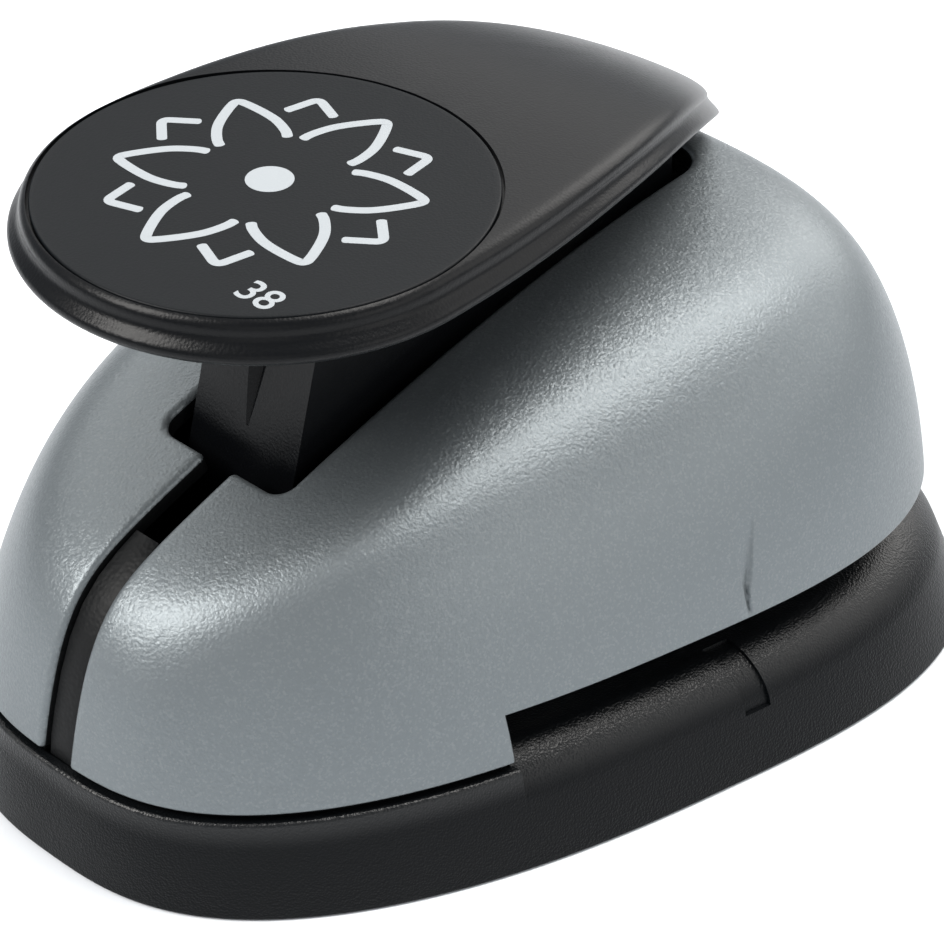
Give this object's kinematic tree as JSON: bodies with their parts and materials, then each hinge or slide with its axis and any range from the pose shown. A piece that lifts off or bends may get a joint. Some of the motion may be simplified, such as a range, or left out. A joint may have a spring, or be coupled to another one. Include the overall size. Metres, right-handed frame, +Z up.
{
  "type": "craft punch",
  "caption": "Palm-lever craft punch: egg-shaped black base, domed silver shell, hinged charcoal lever with a round pad, flower cutter on a sprung ram over a steel die, open paper throat.",
  "frame": {"origin": "on the table under the middle of the base's bounding box", "axes": "+Z up, +Y along the length towards the tall end with the paper throat, -Y towards the low end with the slit and the palm pad, +X to the right seen from the low end"},
  "size_m": [0.095, 0.1125, 0.0659],
  "materials": {
    "shell_silver": "moulded plastic with a pearl silver coat, satin",
    "base_black": "moulded plastic, fine satin grain",
    "frame_black": "moulded plastic, plain matt",
    "lever_charcoal": "moulded plastic, satin",
    "disc_charcoal": "moulded plastic, matt, with a white print",
    "tool_steel": "ground",
    "bright_steel": "drawn and polished",
    "spring_steel": "drawn wire and strip",
    "screw_steel": "zinc plated",
    "die_cast": "die cast, matt"
  },
  "bodies": {
    "body": {"base": "base_black", "die_plate": "tool_steel", "throat_spacer": "frame_black", "guide_plate": "tool_steel", "inner_frame": "frame_black", "upper_shell": "shell_silver", "guide_post_left": "bright_steel", "return_spring_left": "spring_steel", "pin_clip_left": "spring_steel", "guide_post_right": "bright_steel", "return_spring_right": "spring_steel", "pin_clip_right": "spring_steel", "pivot_pin": "bright_steel", "base_screw_1": "screw_steel", "base_screw_2": "screw_steel", "base_screw_3": "screw_steel", "base_screw_4": "screw_steel", "shell_screw_1": "screw_steel", "shell_screw_2": "screw_steel", "shell_screw_3": "screw_steel", "shell_screw_4": "screw_steel", "die_screw_1": "screw_steel", "die_screw_2": "screw_steel", "die_screw_3": "screw_steel", "die_screw_4": "screw_steel"},
    "lever_arm": {"lever": "lever_charcoal", "palm_disc": "disc_charcoal"},
    "ram": {"punch_holder": "die_cast", "punch_cutter": "tool_steel", "cutter_screw_1": "screw_steel", "cutter_screw_2": "screw_steel"}
  },
  "joints": [
    {"name": "lever_press", "type": "hinge", "parent": "body", "child": "lever_arm", "pos_m": [0, 0.037, 0.0345], "axis": [1, 0, 0], "range_deg": [0, 8.8], "stiffness_Nm_per_rad": 1.2, "springref_deg": -7.16},
    {"name": "ram_slide", "type": "slide", "parent": "body", "child": "ram", "axis": [0, 0, -1], "range_m": [0, 0.00492], "deforming": ["return_spring_left", "return_spring_right"]}
  ],
  "couplings": [
    {"joint": "ram_slide", "follows": "lever_press", "m_per_rad": 0.032}
  ]
}
